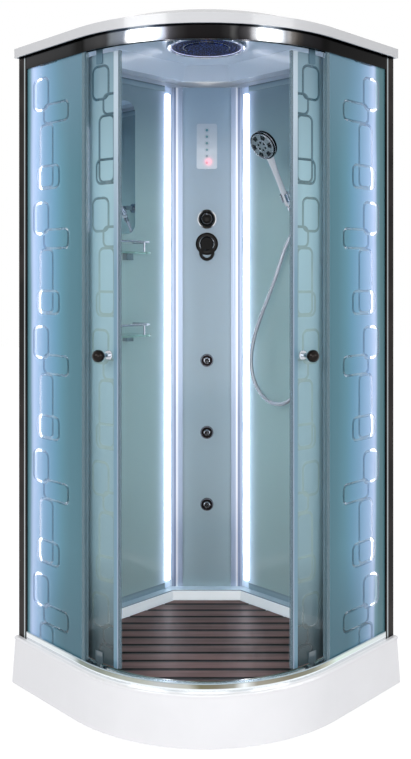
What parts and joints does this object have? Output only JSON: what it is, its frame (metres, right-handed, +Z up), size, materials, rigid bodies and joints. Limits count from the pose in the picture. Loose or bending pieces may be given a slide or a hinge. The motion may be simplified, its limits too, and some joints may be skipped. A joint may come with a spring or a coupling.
{
  "type": "shower cabin",
  "caption": "Quadrant shower cabin with curved sliding doors, a tray and skirt, a roof with a ceiling shower, a valve column with body jets, and a hand shower on a hose.",
  "frame": {"origin": "on the floor, in the middle of the bounding box", "axes": "+X to the right seen from the entry, +Y towards the wall corner, +Z up"},
  "size_m": [1.2812, 1.057, 2.15],
  "materials": {
    "white_acrylic": "gloss white acrylic",
    "frame_steel": "zinc grey",
    "foot_plastic": "black plastic",
    "trap_plastic": "light grey plastic",
    "chrome": "polished",
    "brown_wood": "oiled brown slats",
    "bright_aluminium": "bright polished",
    "frosted_glass": "tinted and frosted with clear lines",
    "clear_seal": "soft seal strip",
    "wall_glass": "back painted grey green glass",
    "column_grey": "grey blue panel",
    "light_diffuser": "white diffuser, lit",
    "rain_plate_blue": "dark blue, sparkling",
    "control_grey": "pale grey touch panel",
    "brass": "plain",
    "black_gloss": "black gloss",
    "silver_plastic": "chromed plastic",
    "hose_silver": "silver sheathed hose",
    "shelf_glass": "clear with a green edge",
    "mirror": "silvered",
    "roller_plastic": "white nylon"
  },
  "bodies": {
    "cabin": {"bottom_rail": "bright_aluminium", "column_panel": "column_grey", "column_profiles": "bright_aluminium", "control_box": "trap_plastic", "control_panel": "control_grey", "corner_posts": "bright_aluminium", "drain_cover": "chrome", "duckboard": "brown_wood", "fixed_glass_left": "frosted_glass", "fixed_glass_right": "frosted_glass", "fixed_glass_seals": "clear_seal", "hose_outlet": "chrome", "jet_housings": "silver_plastic", "levelling_feet": "foot_plastic", "light_strips": "light_diffuser", "mirror": "mirror", "post_screws": "chrome", "rain_head_plate": "rain_plate_blue", "rain_head_ring": "chrome", "roof": "white_acrylic", "shelf_glasses": "shelf_glass", "shelf_rails": "chrome", "shower_bracket": "chrome", "shower_hose": "hose_silver", "supply_pipes": "brass", "support_frame": "frame_steel", "top_rail": "bright_aluminium", "tray": "white_acrylic", "tray_skirt": "white_acrylic", "valve_body": "brass", "valve_escutcheons": "chrome", "wall_panel_left": "wall_glass", "wall_panel_right": "wall_glass", "wall_trims": "bright_aluminium", "waste_trap": "trap_plastic"},
    "door_left": {"door_glass_left": "frosted_glass", "door_stile_left": "bright_aluminium", "door_seal_left": "clear_seal", "door_knob_left": "chrome", "door_hangers_left": "chrome", "door_guides_left": "chrome"},
    "door_right": {"door_glass_right": "frosted_glass", "door_stile_right": "bright_aluminium", "door_seal_right": "clear_seal", "door_knob_right": "chrome", "door_hangers_right": "chrome", "door_guides_right": "chrome"},
    "roller_left_front": {"roller_left_front": "roller_plastic"},
    "roller_left_rear": {"roller_left_rear": "roller_plastic"},
    "roller_right_front": {"roller_right_front": "roller_plastic"},
    "roller_right_rear": {"roller_right_rear": "roller_plastic"},
    "diverter_knob": {"diverter_knob": "black_gloss"},
    "mixer_cap": {"mixer_cap": "chrome"},
    "mixer_lever": {"mixer_lever": "chrome"},
    "jet_nozzle_1": {"jet_nozzle_1": "silver_plastic"},
    "jet_nozzle_2": {"jet_nozzle_2": "silver_plastic"},
    "jet_nozzle_3": {"jet_nozzle_3": "silver_plastic"},
    "hand_set": {"holder_cup": "silver_plastic", "hand_shower": "silver_plastic"},
    "spray_face": {"spray_face": "silver_plastic"}
  },
  "joints": [
    {"name": "door_left_slide", "type": "hinge", "parent": "cabin", "child": "door_left", "pos_m": [0, 0.03351, 0], "axis": [0, 0, -1], "range_deg": [-30.4, 1]},
    {"name": "door_right_slide", "type": "hinge", "parent": "cabin", "child": "door_right", "pos_m": [0, 0.03351, 0], "axis": [0, 0, 1], "range_deg": [-30.4, 1]},
    {"name": "roller_left_front_spin", "type": "hinge", "parent": "door_left", "child": "roller_left_front", "pos_m": [-0.33227, -0.36388, 2.0495], "axis": [-0.6414, -0.7672, 0], "range_deg": [-1400, 1400]},
    {"name": "roller_left_rear_spin", "type": "hinge", "parent": "door_left", "child": "roller_left_rear", "pos_m": [-0.40483, -0.28966, 2.0495], "axis": [-0.7815, -0.6239, 0], "range_deg": [-1400, 1400]},
    {"name": "roller_right_front_spin", "type": "hinge", "parent": "door_right", "child": "roller_right_front", "pos_m": [0.33227, -0.36388, 2.0495], "axis": [-0.6414, 0.7672, 0], "range_deg": [-1400, 1400]},
    {"name": "roller_right_rear_spin", "type": "hinge", "parent": "door_right", "child": "roller_right_rear", "pos_m": [0.40483, -0.28966, 2.0495], "axis": [-0.7815, 0.6239, 0], "range_deg": [-1400, 1400]},
    {"name": "diverter_turn", "type": "hinge", "parent": "cabin", "child": "diverter_knob", "pos_m": [0, 0.35319, 1.563], "axis": [0, -1, 0], "range_deg": [-120, 120]},
    {"name": "mixer_turn", "type": "hinge", "parent": "cabin", "child": "mixer_cap", "pos_m": [0, 0.35319, 1.468], "axis": [0, -1, 0], "range_deg": [-45, 45]},
    {"name": "mixer_lift", "type": "hinge", "parent": "mixer_cap", "child": "mixer_lever", "pos_m": [0, 0.33069, 1.468], "axis": [-1, 0, 0], "range_deg": [0, 25]},
    {"name": "jet_1_tilt", "type": "hinge", "parent": "cabin", "child": "jet_nozzle_1", "pos_m": [0, 0.36349, 0.465], "axis": [1, 0, 0], "range_deg": [-12, 12]},
    {"name": "jet_2_tilt", "type": "hinge", "parent": "cabin", "child": "jet_nozzle_2", "pos_m": [0, 0.36349, 0.742], "axis": [1, 0, 0], "range_deg": [-12, 12]},
    {"name": "jet_3_tilt", "type": "hinge", "parent": "cabin", "child": "jet_nozzle_3", "pos_m": [0, 0.36349, 1.019], "axis": [1, 0, 0], "range_deg": [-12, 12]},
    {"name": "holder_swivel", "type": "hinge", "parent": "cabin", "child": "hand_set", "pos_m": [0.29769, 0.13322, 1.64], "axis": [0.7071, -0.7071, 0], "range_deg": [-15, 20], "deforming": ["shower_hose"]},
    {"name": "spray_face_turn", "type": "hinge", "parent": "hand_set", "child": "spray_face", "pos_m": [0.20122, 0.03674, 1.8018], "axis": [-0.593, -0.593, -0.5446], "range_deg": [-60, 60]}
  ],
  "couplings": [
    {"joint": "roller_left_front_spin", "follows": "door_left_slide", "ratio": 45.044},
    {"joint": "roller_left_rear_spin", "follows": "door_left_slide", "ratio": 45.044},
    {"joint": "roller_right_front_spin", "follows": "door_right_slide", "ratio": 45.044},
    {"joint": "roller_right_rear_spin", "follows": "door_right_slide", "ratio": 45.044}
  ]
}
